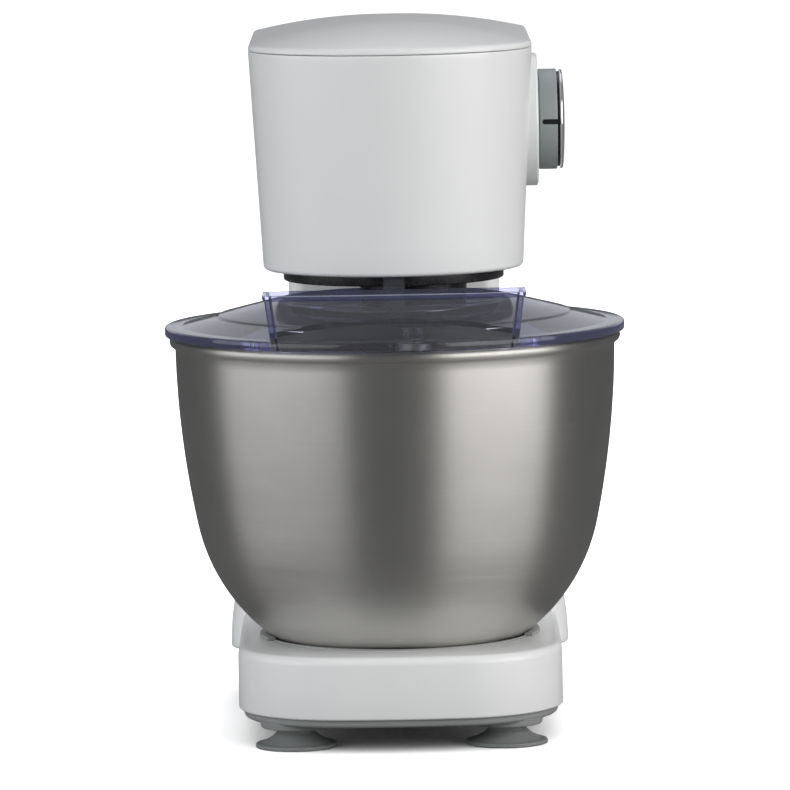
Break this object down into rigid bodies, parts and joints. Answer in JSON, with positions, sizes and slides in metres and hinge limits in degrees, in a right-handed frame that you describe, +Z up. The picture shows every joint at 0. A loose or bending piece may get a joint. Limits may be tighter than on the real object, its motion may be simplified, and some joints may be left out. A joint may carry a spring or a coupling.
{
  "type": "stand mixer",
  "caption": "White tilt-head stand mixer with a steel bowl, clear splash guard, side speed knob and suction feet.",
  "frame": {"origin": "centre of the bounding box in X and Y, on the worktop under the suction feet", "axes": "+Z up; the front with the feed chute faces -Y; +X is the side with the speed knob"},
  "size_m": [0.234, 0.307, 0.362],
  "materials": {
    "white_plastic": "satin",
    "grey_plastic": "matte",
    "black_plastic": "satin",
    "knob_grey": "satin",
    "chrome": "polished",
    "bowl_steel": "brushed",
    "steel": "satin",
    "cast_metal": "satin",
    "bronze": "satin",
    "copper_wire": "satin",
    "clear_smoke": "gloss",
    "foot_rubber": "satin",
    "belt_rubber": "matte",
    "board_green": "satin"
  },
  "bodies": {
    "base": {"base_platform": "white_plastic", "column_housing": "white_plastic", "column_back_cover": "white_plastic", "back_cover_screws": "steel", "base_tray": "grey_plastic", "tray_screws": "steel", "suction_cups": "foot_rubber", "cup_screws": "steel", "bowl_socket": "grey_plastic", "socket_screws": "steel", "column_screws": "steel", "hinge_bracket": "cast_metal", "bracket_screws": "steel", "hinge_pin": "steel", "pin_clips": "steel", "control_board": "board_green", "board_pillars": "grey_plastic", "cable_gland": "black_plastic", "release_spring": "steel"},
    "release": {"release_lever": "grey_plastic"},
    "head": {"head_housing": "white_plastic", "head_top_cover": "white_plastic", "top_cover_screws": "steel", "guard_collar": "black_plastic", "head_chassis": "cast_metal", "chassis_screws": "steel", "hinge_bushes": "bronze", "ring_gear": "steel", "main_bearings": "steel", "motor_frame": "cast_metal", "motor_stator": "steel", "motor_windings": "copper_wire", "drive_belt": "belt_rubber", "knob_bezel": "white_plastic", "switch_body": "black_plastic"},
    "carrier": {"main_shaft": "steel", "large_pulley": "white_plastic", "planet_carrier": "black_plastic", "tool_bearings": "steel"},
    "tool": {"tool_shaft": "steel", "planet_pinion": "steel", "cross_pin": "steel", "flat_beater": "cast_metal"},
    "motor": {"motor_armature": "steel", "cooling_fan": "white_plastic", "motor_pulley": "steel"},
    "knob": {"speed_knob": "knob_grey", "knob_pointer": "black_plastic", "knob_spacer": "black_plastic", "knob_cap": "chrome", "switch_spindle": "steel"},
    "guard": {"splash_guard": "clear_smoke"},
    "bowl": {"bowl": "bowl_steel", "bowl_foot": "bowl_steel"}
  },
  "joints": [
    {"name": "head_tilt", "type": "hinge", "parent": "base", "child": "head", "pos_m": [0, 0.1135, 0.212], "axis": [-1, 0, 0], "range_deg": [0, 45]},
    {"name": "planet_spin", "type": "hinge", "parent": "head", "child": "carrier", "pos_m": [0, -0.0365, 0.24], "axis": [0, 0, 1], "continuous": true},
    {"name": "tool_spin", "type": "hinge", "parent": "carrier", "child": "tool", "pos_m": [0.01001, -0.01359, 0.2], "axis": [0, 0, 1], "continuous": true},
    {"name": "motor_spin", "type": "hinge", "parent": "head", "child": "motor", "pos_m": [0, 0.0755, 0.28], "axis": [0, 0, 1], "continuous": true},
    {"name": "speed_turn", "type": "hinge", "parent": "head", "child": "knob", "pos_m": [0.08, -0.0045, 0.308], "axis": [1, 0, 0], "range_deg": [-30, 120]},
    {"name": "guard_twist", "type": "hinge", "parent": "head", "child": "guard", "pos_m": [0, -0.0365, 0.22], "axis": [0, 0, 1], "range_deg": [0, 20]},
    {"name": "bowl_twist", "type": "hinge", "parent": "base", "child": "bowl", "pos_m": [0, -0.0365, 0.05], "axis": [0, 0, 1], "range_deg": [0, 30]},
    {"name": "release_travel", "type": "slide", "parent": "base", "child": "release", "axis": [0, 0, -1], "range_m": [0, 0.008], "stiffness_N_per_m": 400, "deforming": ["release_spring"]}
  ],
  "couplings": [
    {"joint": "tool_spin", "follows": "planet_spin", "ratio": -2.5625},
    {"joint": "motor_spin", "follows": "planet_spin", "ratio": 4.4444}
  ]
}
